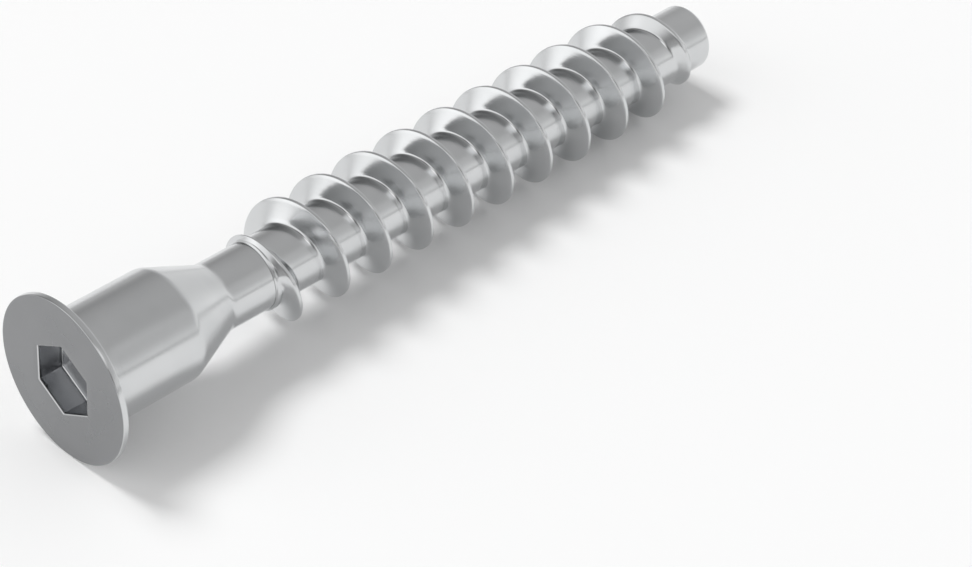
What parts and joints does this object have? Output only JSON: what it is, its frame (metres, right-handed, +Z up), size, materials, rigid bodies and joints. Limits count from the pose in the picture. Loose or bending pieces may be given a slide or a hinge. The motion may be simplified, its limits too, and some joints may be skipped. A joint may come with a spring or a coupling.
{
  "type": "one piece furniture connector screw",
  "caption": "Bright steel connector screw for board furniture: wide flat head with a hex socket, plain shank, tapered neck and a coarse right-hand thread.",
  "frame": {"origin": "middle of the underside of the bounding box, on the surface that the screw lies on", "axes": "+Z up; the screw lies along X with its tip towards +X, its axis 2.3 degrees down towards the tip, because it rests on the head's rim and on two crests near the tip"},
  "size_m": [0.0502, 0.0102, 0.0102],
  "materials": {
    "zinc_steel": "bright zinc plate"
  },
  "bodies": {
    "root": {"connector_screw": "zinc_steel"}
  },
  "joints": []
}
